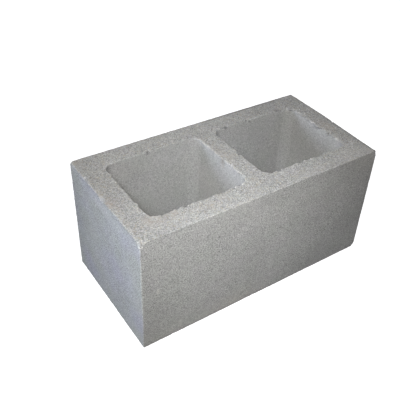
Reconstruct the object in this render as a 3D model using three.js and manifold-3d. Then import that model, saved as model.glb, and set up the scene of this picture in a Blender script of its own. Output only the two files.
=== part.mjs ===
// Hollow concrete block with two cells, cast in one piece in a steel mould.
// Millimetres, +Z up. The block is 400 long (X), 200 deep (Y) and 190 high (Z), and it stands on
// its lower bed with the origin at the middle of that bed. The cells run right through, and they
// are widest at the upper bed, because the mould's cores are drafted so that they can be drawn out.

import * as THREE from 'three';
import { LoftGeometry } from 'three/addons/geometries/LoftGeometry.js';
import { RoundedBoxGeometry } from 'three/addons/geometries/RoundedBoxGeometry.js';
import { mergeVertices } from 'three/addons/utils/BufferGeometryUtils.js';
import Module from 'manifold-3d';

// ---- driving dimensions, mm ----

const LENGTH = 400;
const WIDTH = 200;
const HEIGHT = 190;

const SHELL = 34; // each long wall, at the upper bed
const END_WALL = 32; // each outer cross wall, at the upper bed
const WEB = 29; // the cross wall between the cells, at the upper bed
const DRAFT = 3; // each cell wall leans in by this much on its way down to the lower bed

const CELL_CORNER_RADIUS = 15; // at the upper bed; the draft tightens it towards the lower bed
const ARRIS_RADIUS = 3; // every outer edge and corner, as the mould leaves it
const MOUTH_RADIUS = 2; // the edge of each cell, at both beds

const ARRIS_SEGMENTS = 4;
const MOUTH_SEGMENTS = 4;
const CORNER_SEGMENTS = 12; // each round corner of a cell, an even number
const CUT_OVERRUN = 5; // how far the cores pass through the beds

// ---- what follows from them ----

const CELL_LENGTH = (LENGTH - 2 * END_WALL - WEB) / 2;
const CELL_WIDTH = WIDTH - 2 * SHELL;
const CELL_CENTRE_X = (WEB + CELL_LENGTH) / 2;
const QUARTER_TURN = Math.PI / 2;

// ---- solids for cutting ----

const wasm = await Module();
wasm.setup();

function toSolid(geometry) {
  const bare = new THREE.BufferGeometry();
  bare.setAttribute('position', geometry.attributes.position);
  bare.setIndex(geometry.index);
  const merged = mergeVertices(bare, 1e-4);
  return new wasm.Manifold(new wasm.Mesh({
    numProp: 3,
    vertProperties: new Float32Array(merged.attributes.position.array),
    triVerts: new Uint32Array(merged.index.array),
  }));
}

function toGeometry(solid) {
  const mesh = solid.getMesh();
  const geometry = new THREE.BufferGeometry();
  geometry.setAttribute('position', new THREE.BufferAttribute(mesh.vertProperties, 3));
  geometry.setIndex(new THREE.BufferAttribute(mesh.triVerts, 1));
  geometry.computeVertexNormals();
  return geometry;
}

// ---- the mould box: the block before its cells ----

function blockBlank() {
  const blank = new RoundedBoxGeometry(LENGTH, WIDTH, HEIGHT, ARRIS_SEGMENTS, ARRIS_RADIUS);
  blank.translate(0, 0, HEIGHT / 2);
  return blank;
}

// ---- a core: the drafted, round-cornered pillar that leaves one cell ----

// Heights of a core's sections. They are close together through the two mouths, where the
// cell's edge turns, and the straight drafted wall needs none between.
function sectionHeights() {
  const heights = [-CUT_OVERRUN];
  for (let i = 0; i <= MOUTH_SEGMENTS; i++) {
    heights.push(MOUTH_RADIUS * (1 - Math.cos((i / MOUTH_SEGMENTS) * QUARTER_TURN)));
  }
  for (let i = MOUTH_SEGMENTS; i >= 0; i--) {
    heights.push(HEIGHT - MOUTH_RADIUS * (1 - Math.cos((i / MOUTH_SEGMENTS) * QUARTER_TURN)));
  }
  heights.push(HEIGHT + CUT_OVERRUN);
  return heights;
}

// How far a core's wall stands in from the cell's outline at the upper bed
function insetAt(height) {
  const onBlock = THREE.MathUtils.clamp(height, 0, HEIGHT);
  const draft = DRAFT * (1 - onBlock / HEIGHT);
  const toMouth = Math.min(onBlock, HEIGHT - onBlock, MOUTH_RADIUS);
  const turned = MOUTH_RADIUS - toMouth;
  const flare = MOUTH_RADIUS - Math.sqrt(MOUTH_RADIUS ** 2 - turned ** 2);
  return draft - flare;
}

// The cell's outline at one height. Its four corner arcs keep their centres from bed to bed,
// so each corner of the cell is part of a cone that runs on into the drafted walls.
function coreSection(centreX, height) {
  const radius = CELL_CORNER_RADIUS - insetAt(height);
  const reachX = CELL_LENGTH / 2 - CELL_CORNER_RADIUS;
  const reachY = CELL_WIDTH / 2 - CELL_CORNER_RADIUS;
  const outline = new THREE.Path();
  outline.absarc(reachX, reachY, radius, 0, QUARTER_TURN);
  outline.absarc(-reachX, reachY, radius, QUARTER_TURN, 2 * QUARTER_TURN);
  outline.absarc(-reachX, -reachY, radius, 2 * QUARTER_TURN, 3 * QUARTER_TURN);
  outline.absarc(reachX, -reachY, radius, 3 * QUARTER_TURN, 4 * QUARTER_TURN);
  const points = outline.getPoints(CORNER_SEGMENTS / 2); // an arc takes two steps for each one
  return points.map((point) => new THREE.Vector3(centreX + point.x, point.y, height));
}

function core(centreX) {
  const sections = sectionHeights().map((height) => coreSection(centreX, height));
  return new LoftGeometry(sections, { capStart: true, capEnd: true });
}

// ---- the cast block ----

function concreteBlock() {
  let solid = toSolid(blockBlank());
  for (const side of [-1, 1]) {
    solid = solid.subtract(toSolid(core(side * CELL_CENTRE_X)));
  }
  const concrete = new THREE.MeshStandardMaterial({
    color: 0x9c9c9a,
    roughness: 0.95,
    metalness: 0,
  });
  const mesh = new THREE.Mesh(toGeometry(solid), concrete);
  mesh.name = 'concrete_block';
  return mesh;
}

const block = new THREE.Group();
block.add(concreteBlock());

export default block;
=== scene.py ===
import math

import bmesh
import bpy
from mathutils import Matrix, Vector, noise


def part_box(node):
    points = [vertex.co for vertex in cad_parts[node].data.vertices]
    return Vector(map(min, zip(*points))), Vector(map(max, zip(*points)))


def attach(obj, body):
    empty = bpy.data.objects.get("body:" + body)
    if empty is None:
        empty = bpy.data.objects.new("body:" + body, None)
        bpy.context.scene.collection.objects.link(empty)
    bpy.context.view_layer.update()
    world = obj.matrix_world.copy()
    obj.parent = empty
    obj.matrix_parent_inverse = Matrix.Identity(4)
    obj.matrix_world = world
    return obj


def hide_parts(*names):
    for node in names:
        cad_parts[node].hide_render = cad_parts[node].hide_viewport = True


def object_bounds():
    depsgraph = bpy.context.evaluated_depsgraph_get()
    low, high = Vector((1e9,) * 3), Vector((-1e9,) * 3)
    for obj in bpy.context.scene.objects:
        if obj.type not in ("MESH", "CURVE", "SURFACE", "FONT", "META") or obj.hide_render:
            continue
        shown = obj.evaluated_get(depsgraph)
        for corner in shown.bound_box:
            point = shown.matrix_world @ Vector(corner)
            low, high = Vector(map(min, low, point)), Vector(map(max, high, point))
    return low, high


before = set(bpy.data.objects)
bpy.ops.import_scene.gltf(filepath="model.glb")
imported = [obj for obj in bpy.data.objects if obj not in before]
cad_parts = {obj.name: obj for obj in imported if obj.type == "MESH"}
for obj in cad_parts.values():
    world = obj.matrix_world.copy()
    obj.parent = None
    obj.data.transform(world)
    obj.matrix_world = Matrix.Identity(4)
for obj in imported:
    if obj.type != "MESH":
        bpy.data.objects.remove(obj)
cad_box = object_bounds()

scene = bpy.context.scene
scene.view_settings.view_transform = "Standard"


# ---- The camera ----
# It stands to the left of the block and in front of it, looks down on the upper bed and is rolled
# a little. Its angles are in degrees: azimuth 0 looks along +Y.
camera_place = Vector((-0.4349, -0.5589, 0.6568))
camera_azimuth, camera_elevation, camera_roll = 36.539, 37.796, 3.427
camera_data = bpy.data.cameras.new("camera")
camera_data.lens = 53.23
camera_data.shift_x = -0.0375
camera = bpy.data.objects.new("camera", camera_data)
camera.matrix_world = (
    Matrix.Translation(camera_place)
    @ Matrix.Rotation(math.radians(-camera_azimuth), 4, "Z")
    @ Matrix.Rotation(math.radians(90 - camera_elevation), 4, "X")
    @ Matrix.Rotation(math.radians(camera_roll), 4, "Z")
)
scene.collection.objects.link(camera)
scene.camera = camera


# ---- Materials by nodes ----
# A node is added with its settings by keyword. Its inputs are given by name, each as a number, a
# colour or another node's output.
def add_node(tree, kind, inputs, **settings):
    node = tree.nodes.new("ShaderNode" + kind)
    for name, value in settings.items():
        setattr(node, name, value)
    for name, value in inputs.items():
        if isinstance(value, bpy.types.NodeSocket):
            tree.links.new(value, node.inputs[name])
        else:
            node.inputs[name].default_value = value
    return node


# ---- The studio ----
# A pale floor that shows white to the camera and keeps the block's shadow, and a plain white sky.
def new_tree(owner):
    owner.use_nodes = True
    owner.node_tree.nodes.clear()
    return owner.node_tree


floor_mesh = bpy.data.meshes.new("floor")
floor_shape = bmesh.new()
bmesh.ops.create_grid(floor_shape, x_segments=1, y_segments=1, size=6.0)
bmesh.ops.translate(floor_shape, verts=floor_shape.verts, vec=(0, 0, cad_box[0].z - 0.0005))
floor_shape.to_mesh(floor_mesh)
floor_shape.free()
floor = bpy.data.objects.new("floor", floor_mesh)
scene.collection.objects.link(floor)

floor_material = bpy.data.materials.new("pale_floor")
tree = new_tree(floor_material)
seen = add_node(tree, "LightPath", {})
under_light = add_node(tree, "BsdfDiffuse", {"Color": (0.05, 0.05, 0.05, 1)})
under_eye = add_node(tree, "BsdfDiffuse", {"Color": (0.4, 0.4, 0.4, 1)})
glow = add_node(tree, "Emission", {"Color": (1, 1, 1, 1), "Strength": 0.9})
white_ground = add_node(tree, "AddShader", {0: under_eye.outputs[0], 1: glow.outputs[0]})
mix = add_node(tree, "MixShader", {
    0: seen.outputs["Is Camera Ray"], 1: under_light.outputs[0], 2: white_ground.outputs[0],
})
add_node(tree, "OutputMaterial", {"Surface": mix.outputs[0]})
floor_mesh.materials.append(floor_material)

world = bpy.data.worlds.new("studio")
scene.world = world
tree = new_tree(world)
seen = add_node(tree, "LightPath", {})
sky = add_node(tree, "Background", {"Color": (1, 1, 1, 1), "Strength": 0.15})
white = add_node(tree, "Background", {"Color": (1, 1, 1, 1), "Strength": 1.0})
mix = add_node(tree, "MixShader", {
    0: seen.outputs["Is Camera Ray"], 1: sky.outputs[0], 2: white.outputs[0],
})
add_node(tree, "OutputWorld", {"Surface": mix.outputs[0]})


# ---- The lamps ----
# A key spot high on the left in front with a lamp below it, two small lamps close to the front and
# to the left end, whose light falls off along the block, a cool window low on the left behind it,
# and two weak soft boxes on the right. Two panels lower than the block light its far faces.
def add_lamp(name, kind, place, aim, watts, colour, **settings):
    data = bpy.data.lights.new(name, kind)
    data.energy = watts
    data.color = colour
    for key, value in settings.items():
        setattr(data, key, value)
    lamp = bpy.data.objects.new(name, data)
    lamp.location = place
    lamp.rotation_euler = (Vector(aim) - Vector(place)).to_track_quat("-Z", "Y").to_euler()
    lamp.visible_camera = False
    scene.collection.objects.link(lamp)


middle = (cad_box[0] + cad_box[1]) / 2
add_lamp("key", "SPOT", (-0.525, -0.626, 0.831), (-0.028, -0.045, 0.1), 37.4, (0.951, 1, 1.061),
         spot_size=math.radians(30), spot_blend=1.0, shadow_soft_size=0.12)
add_lamp("near", "POINT", (-0.46, -0.40, 0.74), middle, 10.5, (1.07, 1, 0.901),
         shadow_soft_size=0.04)
add_lamp("front_glow", "POINT", (-0.10, -0.40, 0.21), middle, 0.73, (1.063, 1, 0.894),
         shadow_soft_size=0.08)
add_lamp("end_glow", "POINT", (-0.42, -0.12, 0.21), middle, 0.74, (0.788, 1, 1.241),
         shadow_soft_size=0.08)
add_lamp("window", "AREA", (-1.30, 0.55, 0.42), middle, 6.4, (0.922, 1, 1.234),
         shape="SQUARE", size=0.3)
add_lamp("right_box", "AREA", (0.995, -0.575, 1.059), middle, 1.45, (0.954, 1, 1.333),
         shape="SQUARE", size=0.7)
add_lamp("rear_box", "AREA", (0.995, 0.575, 1.059), middle, 2.0, (1, 1, 1),
         shape="SQUARE", size=0.7)
add_lamp("rear_panel", "AREA", (0.15, 1.3, 0.09), (0, 0, 0.09), 7.0, (1, 1, 1),
         shape="SQUARE", size=0.16)
add_lamp("right_panel", "AREA", (1.3, 0, 0.09), (0, 0, 0.09), 5.0, (1, 1, 1),
         shape="SQUARE", size=0.16)


# ---- The concrete block ----
# One casting of sand, fine gravel and cement, rammed into a steel mould and pushed out while still
# green. The mould's faces come out dense and fine, the upper bed stays open and granular, and the
# edges crumble a little.
low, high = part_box("concrete_block")
length, width, height = high - low
shell, end_wall, web = 0.034, 0.032, 0.029
cell_length = length / 2 - end_wall - web / 2
cell_width = width - 2 * shell
cell_middle = web / 2 + cell_length / 2
draft = 0.003
cell_corner_radius = 0.015
edge_radius = 0.0008
cells_aside = Vector((0.0014, 0.001, 0))

block_shape = bmesh.new()
bmesh.ops.create_cube(block_shape, size=1.0)
bmesh.ops.scale(block_shape, verts=block_shape.verts, vec=(length, width, height))
bmesh.ops.translate(block_shape, verts=block_shape.verts, vec=(low + high) / 2)

# The lines of the cell walls are ruled over the block, and the two cells are opened through it.
for x in (-length / 2 + end_wall, -web / 2, web / 2, length / 2 - end_wall):
    x += cells_aside.x
    everything = block_shape.verts[:] + block_shape.edges[:] + block_shape.faces[:]
    bmesh.ops.bisect_plane(block_shape, geom=everything, plane_co=(x, 0, 0), plane_no=(1, 0, 0))
for y in (-width / 2 + shell, width / 2 - shell):
    y += cells_aside.y
    everything = block_shape.verts[:] + block_shape.edges[:] + block_shape.faces[:]
    bmesh.ops.bisect_plane(block_shape, geom=everything, plane_co=(0, y, 0), plane_no=(0, 1, 0))


def over_cell(face, side):
    at = face.calc_center_median() - cells_aside
    return abs(face.normal.z) > 0.5 and abs(at.y) < 0.01 and abs(at.x - side * cell_middle) < 0.01


block_shape.normal_update()
cell_corners = []
for side in (-1, 1):
    mouths = [f for f in block_shape.faces if over_cell(f, side)]
    rims = [e for f in mouths for e in f.edges]
    lower_rim = [v for f in mouths if f.normal.z < 0 for v in f.verts]
    centre = Vector((side * cell_middle, 0, 0)) + cells_aside
    for vert in lower_rim:
        vert.co.x -= math.copysign(draft, vert.co.x - centre.x)
        vert.co.y -= math.copysign(draft, vert.co.y - centre.y)
    bmesh.ops.delete(block_shape, geom=mouths, context="FACES_ONLY")
    walls = bmesh.ops.bridge_loops(block_shape, edges=rims)
    cell_corners += [e for e in walls["edges"] if abs(e.verts[0].co.z - e.verts[1].co.z) > 0.1]
bmesh.ops.bevel(block_shape, geom=cell_corners, offset=cell_corner_radius, segments=10,
                profile=0.5, affect="EDGES", material=-1)

block_shape.normal_update()
sharp = [e for e in block_shape.edges if e.calc_face_angle(0) > math.radians(60)]
bmesh.ops.bevel(block_shape, geom=sharp, offset=edge_radius, segments=2,
                profile=0.5, affect="EDGES", material=-1)

# An even net of small faces carries the relief.
block_mesh = bpy.data.meshes.new("concrete")
block_shape.to_mesh(block_mesh)
block_shape.free()
block = bpy.data.objects.new("concrete_block_cast", block_mesh)
scene.collection.objects.link(block)
remesh = block.modifiers.new("net", "REMESH")
remesh.mode = "VOXEL"
remesh.voxel_size = 0.001


def settle(piece):
    graph = bpy.context.evaluated_depsgraph_get()
    settled = bpy.data.meshes.new_from_object(piece.evaluated_get(graph))
    piece.modifiers.clear()
    piece.data = settled


settle(block)


# How near a point of the surface is to an arris of the block, and to the mouth of a cell.
def arris_gap(at):
    gaps = sorted((length / 2 - abs(at.x), width / 2 - abs(at.y), min(at.z, height - at.z)))
    return math.hypot(gaps[0], gaps[1])


def mouth_gap(at):
    at = at - cells_aside
    lean = draft * (1 - at.z / height)
    past_x = abs(abs(at.x) - cell_middle) - (cell_length / 2 - lean - cell_corner_radius)
    past_y = abs(at.y) - (cell_width / 2 - lean - cell_corner_radius)
    to_wall = math.hypot(max(past_x, 0), max(past_y, 0)) + min(max(past_x, past_y), 0)
    return math.hypot(to_wall - cell_corner_radius, min(at.z, height - at.z))


def fade(gap, reach):
    share = max(0.0, 1 - gap / reach)
    return share * share * (3 - 2 * share)


# Each cell of the noise is one grain or one crumb, and its luck is a share of its own.
def luck(spot):
    return 0.5 + 0.5 * noise.cell(spot)


def grains(at, size):
    distances, centres = noise.voronoi(at / size)
    return luck(centres[0] * 7.3) * max(0.0, 1 - (distances[0] / 0.8) ** 2)


def beads(at, size):
    distances, centres = noise.voronoi(at / size)
    return (0.4 + 0.6 * luck(centres[0] * 4.7)) * max(0.0, 1 - (distances[0] / 0.62) ** 2)


def pits(at, size, share, radius):
    distances, centres = noise.voronoi(at / size)
    if luck(centres[0] * 5.1) > share:
        return 0.0
    reach = radius * (0.6 + 0.8 * luck(centres[0] * 9.7))
    return max(0.0, 1 - (distances[0] * size / reach) ** 2)


# Where handling took a chip out, and where a crumb was left standing: each has its place, its reach
# and its depth in millimetres.
MM = 0.001
chips = [
    ((-200, -100, 190), 8.0, 1.7), ((-200, 100, 190), 4.0, 0.9), ((200, -100, 0), 7.0, 1.6),
    ((-94, 67, 189), 3.4, 2.2), ((-96, 71, 190), 1.8, -0.5), ((41, 70, 190), 2.8, 1.4),
    ((37, 67, 190), 3.0, 1.6), ((82, 67, 189), 3.2, 1.8), ((88, 71, 190), 2.4, -0.4),
    ((140, 69, 190), 3.4, 2.2), ((152, 67, 190), 6.0, 1.2), ((128, 67, 190), 4.0, 1.0),
    ((15, -3, 190), 3.6, 1.6), ((14, 8, 190), 4.0, -0.7), ((170, -24, 189), 4.6, 3.4),
    ((169, 2, 189), 6.0, -1.4), ((169, -40, 189), 7.0, -1.0), ((199, -3, 190), 2.8, 1.6),
    ((188, -51, 190), 2.2, 1.2), ((19, -91, 190), 2.2, 1.2), ((-121, 80, 190), 2.2, 1.2),
    ((-191, -100, 183), 1.8, 0.45), ((-192, -100, 164), 1.8, 0.45), ((-84, -100, 148), 2.0, 0.45),
    ((-198, -100, 102), 2.2, 0.8), ((21, -100, 181), 2.4, 0.8), ((129, -100, 67), 1.9, 0.45),
    ((170, -100, 53), 1.9, 0.45), ((-48, -100, 47), 2.0, 0.45),
]
chips = [(Vector(place) * MM, reach * MM, depth) for place, reach, depth in chips]


def chipped(at):
    depth = 0.0
    for place, reach, deepest in chips:
        gap = (at - place).length * (1 + 0.35 * noise.noise(at / 0.0024))
        if gap < reach:
            depth += deepest * min(1.0, 1.6 * (1 - (gap / reach) ** 2))
    return depth


# The mouths are frayed along the front shell, roughest at the right end wall, and better kept at the
# rear and on the web. The crumbs on the two end walls lean into the cells.
def front_rim(at):
    return fade(abs(at.y + 0.065), 0.02)


def rear_rim(at):
    return fade(abs(at.y - 0.067), 0.02)


def right_rim(at):
    return fade(abs(at.x - 0.169), 0.02)


def left_rim(at):
    return fade(abs(at.x + 0.166), 0.02)


def web_rim(at):
    return fade(abs(at.x - 0.017), 0.01)


crumb_size = 0.0078


def bed_share(at, facing):
    return fade(height - at.z, 0.003) * max(0.0, min(1.0, facing.z * 2 - 0.6))


# What is lost along the surface's own direction, in millimetres. The moulded faces are nearly flat,
# with a few air pits. The open bed is a skin of grains.
def face_loss(at):
    loss = 0.12 + 0.16 * noise.noise(at / 0.055) + 0.012 * noise.noise(at / 0.004)
    return loss + 0.35 * pits(at, 0.016, 0.09, 0.0014)


def bed_loss(at):
    loss = 0.25 + 0.09 * noise.noise(at / 0.014) + 0.06 * noise.noise(at / 0.0023)
    loss -= 0.28 * grains(at, 0.0026) + 0.1 * grains(at, 0.0052)
    return loss + 0.9 * pits(at, 0.012, 0.12, 0.0016)


# Every arris is a little worn. The upper one on the left is broken back in bays, the upper one on
# the right wears away towards the front, and so does the upright one below it.
def arris_loss(at):
    loss = 0.0
    arris = fade(arris_gap(at), 0.005)
    if arris > 0:
        worn = 0.1 + 0.4 * noise.noise(at / 0.006) + 0.4 * noise.noise(at / 0.0027)
        loss += arris * max(0.0, worn)
    if at.x < -length / 2 + 0.01 and at.z > height - 0.01:
        bays = 1.3 + 3.6 * noise.noise(at / 0.018) + 2.5 * noise.noise(at / 0.007)
        loss += max(0.0, bays - math.hypot(length / 2 + at.x, height - at.z) / (1.3 * MM))
    upper_right = fade(math.hypot(length / 2 - at.x, height - at.z), 0.010)
    loss += 3.6 * upper_right * max(0.0, 0.12 - at.y / 0.11)
    upright_right = fade(math.hypot(length / 2 - at.x, width / 2 + at.y), 0.004)
    return loss + upright_right


def mouth_loss(at):
    kept = 0.35 * max(rear_rim(at), web_rim(at))
    frayed = (1.1 - 0.5 * left_rim(at)) * front_rim(at)
    ragged = max(0.7 - kept, frayed, 1.9 * right_rim(at))
    crumbs = 2.8 * beads(at, crumb_size) + 1.8 * beads(at, 0.004)
    loss = ragged * (1.1 + 0.4 * front_rim(at) - crumbs + 0.3 * noise.noise(at / 0.0022))
    return loss + right_rim(at) * 2.5 * noise.noise(at / 0.012)


relief = bmesh.new()
relief.from_mesh(block.data)
relief.normal_update()
shifts = []
for vert in relief.verts:
    at, facing = vert.co, vert.normal
    bed = bed_share(at, facing)
    mouth = fade(mouth_gap(at), 0.005)
    if at.z < height / 2:
        mouth *= 0.4
    loss = face_loss(at) + arris_loss(at) + chipped(at)
    if bed > 0:
        loss += bed * bed_loss(at)
    if mouth > 0:
        loss += mouth * mouth_loss(at)
    lean = mouth * (0.75 * left_rim(at) - 1.2 * right_rim(at))
    shifts.append(-loss * MM * facing + Vector((lean * MM, 0, 0)))
for vert, shift in zip(relief.verts, shifts):
    vert.co += shift
relief.to_mesh(block.data)
relief.free()

most_triangles = 197000
thin = block.modifiers.new("thin", "DECIMATE")
thin.ratio = min(1.0, most_triangles / (2 * len(block.data.polygons)))
settle(block)
for vert in block.data.vertices:
    vert.co = [min(max(vert.co[i], low[i]), high[i]) for i in range(3)]

# What the finish follows at each point: how far it is open bed, a worn edge, a cell wall and the left
# end, and where it is paler, browner, darker or cooler than the rest.
# Much of the paler and darker is painted light and painted shade, and the cooler is painted cool
# light. Each mark has its place and its reach along X, Y and Z in millimetres, and its strength.
pale_grains_and_painted_light = [
    # Grains and crumbs.
    ((-96, 71, 190), (2.0, 2.0, 3), 1.0), ((88, 71, 190), (3, 2.2, 3), 0.9),
    ((22, 72, 190), (2.4, 2.4, 3), 0.8), ((27, 70, 190), (2.0, 2.0, 3), 0.8),
    ((0, -33, 190), (2.2, 2.2, 3), 1.0), ((-142, -100, 22), (2.0, 3, 2.4), 1.0),
    ((-199, -99, 187), (1.9, 1.9, 2), 1.0), ((-196, -99, 189), (1.8, 1.8, 2), 0.9),
    ((-200, -97, 183), (1.8, 1.8, 2), 0.9), ((-200, -94, 188), (1.8, 1.8, 2), 0.9),
    ((-195, -95, 190), (1.8, 1.8, 2), 0.8), ((-199, -99, 179), (1.6, 1.6, 2), 0.7),
    ((-192, -99, 189), (1.8, 1.8, 2), 0.7), ((14, 8, 190), (4, 4, 3), 0.4),
    ((-198, 56, 189), (1.8, 1.8, 3), 1.0), ((-196, 20, 190), (1.7, 1.7, 3), 0.9),
    ((-192, 8, 190), (1.8, 1.8, 3), 1.0), ((-196, -46, 190), (1.7, 1.7, 3), 0.8),
    ((-196, -16, 190), (1.7, 1.7, 3), 0.9), ((-195, -31, 190), (1.5, 2.4, 3), 0.8),
    ((-196, -72, 190), (1.6, 2.4, 3), 0.8),
    # Streaks, and broad patches that are partly tone of the concrete and partly painted light where a
    # face would otherwise render too dark.
    ((-176, -100, 98), (1.5, 3, 11), 0.6), ((-178, -100, 133), (1.5, 3, 8), 0.5),
    ((-142, -100, 16), (1.6, 3, 8), 0.6), ((170, -40, 189), (5, 14, 5), 0.4),
    ((-200, -100, 120), (2.5, 2.5, 60), 0.25), ((165, -86, 190), (60, 34, 8), 0.2),
    ((-60, -100, 192), (90, 8, 50), 0.08), ((100, -92, 190), (60, 20, 6), 0.15),
    ((45, -94, 190), (32, 12, 6), 0.12), ((168, -42, 180), (6, 22, 30), 0.15),
    ((95, 92, 190), (45, 14, 6), 0.12), ((-170, -100, 0), (150, 8, 60), 0.14),
    ((185, -100, 190), (60, 8, 50), 0.22), ((-50, -100, 0), (110, 8, 45), 0.1),
    ((-14, 25, 125), (8, 45, 55), 0.14), ((-200, -90, 70), (8, 55, 120), 0.12),
    ((-200, -80, 5), (8, 55, 50), 0.2), ((-162, 45, 110), (60, 60, 100), 0.15),
    ((-202, 0, 176), (6, 110, 13), 0.22), ((-50, 84, 190), (190, 22, 8), 0.1),
    ((-13, 38, 189), (4, 26, 3), 0.35), ((50, -100, 150), (160, 8, 60), 0.06),
    ((190, -93, 190), (20, 12, 8), 0.3),
]
brown_marks = [
    ((-194, -18, 190), (12, 28, 6), 0.95), ((-196, 14, 189), (8, 22, 5), 0.55),
    ((-196, -64, 189), (8, 28, 5), 0.45), ((-191, 92, 190), (14, 11, 5), 0.4),
    ((-199, 66, 188), (6, 18, 5), 0.4), ((-196, -98, 188), (8, 7, 7), 0.5),
    ((1, -4, 190), (14, 13, 5), 0.6), ((-6, -64, 190), (12, 10, 5), 0.5),
    ((-165, -68, 190), (28, 18, 5), 0.6), ((-136, -71, 190), (24, 16, 5), 0.55),
    ((-88, -82, 190), (20, 14, 5), 0.4), ((-62, -70, 190), (18, 14, 5), 0.4),
    ((-186, 30, 190), (20, 60, 5), 0.15), ((-10, 20, 190), (20, 50, 5), 0.3),
    ((180, -11, 190), (14, 36, 5), 0.8), ((148, 69, 190), (14, 6, 5), 0.45),
    ((-50, -100, 8), (80, 8, 38), 0.3), ((-13, -3, 183), (6, 7, 14), 0.8),
]
dark_stains_and_painted_shade = [
    # Pits, darker partly by dirt and partly by painted shade in their hollows.
    ((-81, 67, 171), (2.4, 3, 2.4), 0.8), ((-14, 66, 147), (2.4, 3, 2.4), 0.6),
    ((-95, 68, 187), (5, 5, 4.5), 1.0), ((41, 68, 188), (5, 5, 4), 1.0),
    ((87, 68, 185), (5, 5, 4), 0.8), ((142, 69, 189), (5, 4, 4), 0.9),
    ((98, 94, 190), (2, 2, 3), 0.8), ((152, 67, 189), (6, 2.4, 3), 0.5),
    ((169, -24, 188), (4, 5, 5), 1.0),
    # Painted shade: a dark line along the foot of the front, dark lines along the far arrises, shaded
    # rear corners of the cells, and broad patches that darken where a face would otherwise render too
    # bright.
    ((-185, -75, 190), (150, 130, 10), 0.2), ((-186, -8, 190), (34, 100, 8), 0.28),
    ((-180, 70, 190), (45, 45, 8), 0.08), ((172, 92, 190), (60, 30, 8), 0.06),
    ((150, -100, 60), (90, 8, 70), 0.06), ((95, -100, 5), (110, 8, 80), 0.2),
    ((-200, 95, 110), (8, 60, 90), 0.24), ((-170, -97, 190), (70, 22, 6), 0.4),
    ((-18, 62, 130), (15, 13, 220), 0.22), ((165, 62, 110), (14, 13, 220), 0.13),
    ((-30, 68, 182), (45, 8, 40), 0.12), ((-70, 68, 184), (45, 8, 16), 0.12),
    ((0, -101, -2), (420, 7, 8), 1.0), ((110, 100, 190), (130, 7, 4), 1.0),
    ((-100, 101, 190), (120, 5, 3), 0.45), ((201, 0, 188), (7, 125, 6), 1.0),
    ((201, -100, 90), (8, 8, 110), 1.0), ((-13, -3, 185), (7, 6, 10), 0.45),
    ((-159, 66, 184), (4, 4, 8), 0.5),
]
# Painted cool light on the left end.
painted_cool_light_marks = [
    ((-200, -40, 85), (12, 75, 60), 0.8), ((-200, -85, 45), (12, 40, 40), 1.0),
    ((-200, 60, 25), (12, 50, 35), 0.9), ((-200, 45, 180), (12, 50, 22), 0.6),
    ((-200, -40, 170), (12, 75, 35), 0.45),
]
small_chip = 0.0045
# The small chips get painted shade in their hollows.
dark_stains_and_painted_shade += [(tuple(place / MM), (reach / MM,) * 3, 0.8) for place, reach, depth in chips
               if reach < small_chip and depth > 0]


def marked(at, places):
    share = 0.0
    for place, reach, strength in places:
        gap = Vector([(at[i] / MM - place[i]) / reach[i] for i in range(3)]).length
        share = max(share, strength * fade(gap, 1.0))
    return share


# Pale crushed grain along the worn arrises, and along the mouths' rims, where the pale crumb tips are
# partly painted highlight.
def wear_and_rim_highlight_share(at):
    worn = (0.15 if at.x < -0.195 else 0.08) * fade(arris_gap(at), 0.003)
    if at.z < height / 2:
        return worn
    rim = max(0.6 - max(0.6 * rear_rim(at), 0.45 * left_rim(at)), front_rim(at))
    rim *= fade(mouth_gap(at), 0.0032) * (0.6 + 1.2 * beads(at, crumb_size))
    return max(worn, min(1.0, rim))


# Painted shade on the rear right corner of the left cell's mouth and on the upper arris of the front,
# which darkens the light these edges catch.
def painted_rim_shade_share(at):
    if at.y < -width / 2 + 0.005 and at.z > height - 0.005:
        return 0.12 * fade(arris_gap(at), 0.0026)
    return 0.55 * rear_rim(at) * fade(abs(at.x + 0.02), 0.03) * fade(mouth_gap(at), 0.0026)


def in_cell(at):
    past = at - cells_aside
    between_shells = abs(past.y) < width / 2 - shell + 0.0005
    return between_shells and abs(abs(past.x) - cell_middle) < cell_length / 2 + 0.0005


def end_share(at, facing):
    return max(0.0, min(1.0, -2 * facing.x - 0.3)) if at.x < -length / 2 + 0.01 else 0.0


finish = block.data.attributes.new("finish", "FLOAT_COLOR", "POINT")
marks = block.data.attributes.new("marks", "FLOAT_COLOR", "POINT")
for index, vert in enumerate(block.data.vertices):
    at, facing = vert.co, vert.normal
    finish.data[index].color = (
        bed_share(at, facing), wear_and_rim_highlight_share(at), float(in_cell(at)), end_share(at, facing),
    )
    marks.data[index].color = (
        marked(at, pale_grains_and_painted_light), marked(at, brown_marks),
        max(painted_rim_shade_share(at), marked(at, dark_stains_and_painted_shade)), marked(at, painted_cool_light_marks),
    )


# The finish is grey cement over grey, buff and brown sand. Tone drifts over the block and from one
# patch to the next, each grain has a tone of its own, and the mould leaves faint upright streaks.
def maths(operation, *values):
    return add_node(tree, "Math", dict(enumerate(values)), operation=operation).outputs[0]


def ramp(value, start, end, low_value, high_value):
    return add_node(tree, "MapRange", {
        "Value": value, "From Min": start, "From Max": end,
        "To Min": low_value, "To Max": high_value,
    }).outputs[0]


def cloud(scale, detail, place):
    return add_node(tree, "TexNoise", {
        "Vector": place, "Scale": scale, "Detail": detail, "Roughness": 0.55,
    }).outputs["Fac"]


def cells(scale, place):
    return add_node(tree, "TexVoronoi", {"Vector": place, "Scale": scale})


def over(share, under, colour):
    return add_node(tree, "Mix", {0: share, 6: under, 7: colour}, data_type="RGBA").outputs[2]


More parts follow.
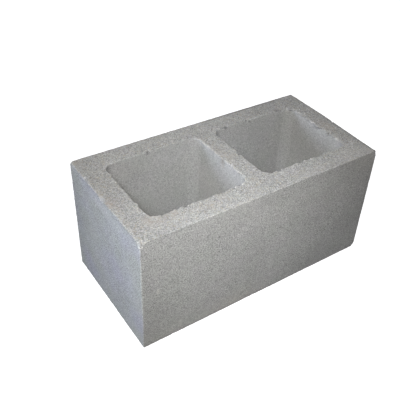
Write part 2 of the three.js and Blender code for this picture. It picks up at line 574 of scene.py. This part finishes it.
concrete = bpy.data.materials.new("concrete")
tree = new_tree(concrete)
place = add_node(tree, "TexCoord", {}).outputs["Object"]
along = add_node(tree, "SeparateXYZ", {"Vector": place}).outputs["X"]
upright = add_node(tree, "Mapping", {"Vector": place, "Scale": (1, 1, 0.07)}).outputs[0]
finish_read = add_node(tree, "Attribute", {}, attribute_name="finish").outputs
finish_parts = add_node(tree, "SeparateColor", {"Color": finish_read["Color"]}).outputs
open_bed, worn, cell_wall = finish_parts[0], finish_parts[1], finish_parts[2]
left_end = finish_read["Alpha"]
marks_read = add_node(tree, "Attribute", {}, attribute_name="marks").outputs
marks_parts = add_node(tree, "SeparateColor", {"Color": marks_read["Color"]}).outputs
pale_and_painted_light, brown, dark_and_painted_shade, painted_cool_light = marks_parts[0], marks_parts[1], marks_parts[2], marks_read["Alpha"]


def by_face(mould_side, bed, cell):
    outside = ramp(open_bed, 0, 1, mould_side, bed)
    return maths("MULTIPLY_ADD", cell_wall, cell - mould_side, outside)


def vary(tone, share, swing):
    return maths("MULTIPLY", tone, maths("MULTIPLY_ADD", maths("SUBTRACT", share, 0.5), swing, 1.0))


sand = cells(600, place)
sand_luck = add_node(tree, "SeparateColor", {"Color": sand.outputs["Color"]}).outputs
bed_grit = ramp(along, -0.18, 0.18, 2.35, 3.7)

tone = ramp(cloud(13, 3, place), 0.3, 0.7, 0.95, 1.05)
# The cell walls are painted paler than the outer faces, which stands in for light inside the cells.
tone = maths("MULTIPLY", tone, by_face(1.0, 1.06, 1.16))
tone = vary(tone, cloud(75, 0, place), by_face(0.10, 0.07, 0.03))
tone = vary(tone, cloud(640, 2, upright), by_face(0.14, 0.02, 0.03))
tone = vary(tone, cloud(640, 0, place), by_face(0.86, 1.05, 0.50))
tone = vary(tone, cloud(1050, 2, place), by_face(2.80, bed_grit, 1.50))
tone = vary(tone, sand_luck[0], by_face(0.30, 0.20, 0.22))

green_grey, red_grey = (0.368, 0.371, 0.354, 1), (0.375, 0.369, 0.363, 1)
hue = over(ramp(cloud(36, 2, place), 0.35, 0.65, 0, 1), green_grey, red_grey)
# The left end is tinted between warm and cool: painted cool light, strongest at its cool marks.
warm_tint, painted_cool_tint = (1.0, 1.004, 0.955, 1), (1.0, 0.978, 1.075, 1)
painted_coolness = maths("ADD", painted_cool_light, ramp(cloud(26, 2, place), 0.3, 0.7, -0.25, 0.5))
painted_end_light_tint = over(painted_coolness, warm_tint, painted_cool_tint)
hue = add_node(tree, "Mix", {0: left_end, 6: hue, 7: painted_end_light_tint},
               data_type="RGBA", blend_type="MULTIPLY").outputs[2]
colour = add_node(tree, "VectorMath", {0: hue, "Scale": tone}, operation="SCALE").outputs[0]

# Single grains of buff, pale and dark sand, and the crushed grains along the worn edges.
buff_share = maths("MULTIPLY", ramp(sand_luck[1], 0.84, 0.87, 0, 1), ramp(open_bed, 0, 1, 0.10, 0.90))
colour = over(buff_share, colour, (0.41, 0.382, 0.32, 1))
bared = maths("MAXIMUM", open_bed, worn)
pale_share = maths("MULTIPLY", ramp(sand_luck[2], 0.925, 0.935, 0, 1), ramp(bared, 0, 1, 0.2, 0.5))
colour = over(pale_share, colour, (0.62, 0.61, 0.58, 1))
dark_share = maths("MULTIPLY", ramp(sand_luck[2], 0.06, 0.05, 0, 1), ramp(open_bed, 0, 1, 0.25, 0.4))
colour = over(dark_share, colour, (0.16, 0.155, 0.15, 1))
# Along the mouths' rims this pale is partly painted highlight.
crushed_share = maths("MULTIPLY", worn, ramp(sand_luck[0], 0.36, 0.41, 0, 0.8))
colour = over(crushed_share, colour, (0.56, 0.55, 0.52, 1))

brown_share = maths("MULTIPLY", brown, ramp(cloud(150, 2, place), 0.38, 0.62, 0.1, 1.0))
colour = over(brown_share, colour, (0.42, 0.37, 0.32, 1))
# Pale grains and painted light, then dark stains and painted shade.
colour = over(maths("MULTIPLY", pale_and_painted_light, 0.85), colour, (0.72, 0.70, 0.64, 1))
colour = over(maths("MULTIPLY", dark_and_painted_shade, 0.75), colour, (0.10, 0.10, 0.10, 1))

# Grains and pinholes too small for the net are left to the bump.
sand_heights = ramp(sand.outputs["Distance"], 0, 0.8, 1, 0)
grit = maths("MULTIPLY", sand_heights, ramp(open_bed, 0, 1, 0.25, 1))
grit = maths("ADD", grit, maths("MULTIPLY", cloud(1300, 2, place), 0.5))
pinholes = cells(330, place)
pinhole_luck = add_node(tree, "SeparateColor", {"Color": pinholes.outputs["Color"]}).outputs[0]
pinhole = maths("MULTIPLY", ramp(pinholes.outputs["Distance"], 0.3, 0.15, 0, 1),
                ramp(pinhole_luck, 0.90, 0.91, 0, 1))
grit = maths("SUBTRACT", grit, pinhole)
# The pinholes are also painted dark: painted shade in the holes.
colour = over(maths("MULTIPLY", pinhole, 0.45), colour, (0.12, 0.12, 0.115, 1))
bump = add_node(tree, "Bump", {"Height": grit, "Strength": 0.7, "Distance": 0.0003})
roughness = ramp(tone, 0.85, 1.15, 0.98, 0.86)
surface = add_node(tree, "BsdfPrincipled", {
    "Base Color": colour, "Roughness": roughness, "Specular IOR Level": 0.3,
    "Normal": bump.outputs[0],
})
add_node(tree, "OutputMaterial", {"Surface": surface.outputs[0]})
block.data.materials.clear()
block.data.materials.append(concrete)
block.data.shade_smooth()
block.data.set_sharp_from_angle(angle=math.radians(28))

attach(block, "root")
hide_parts("concrete_block")
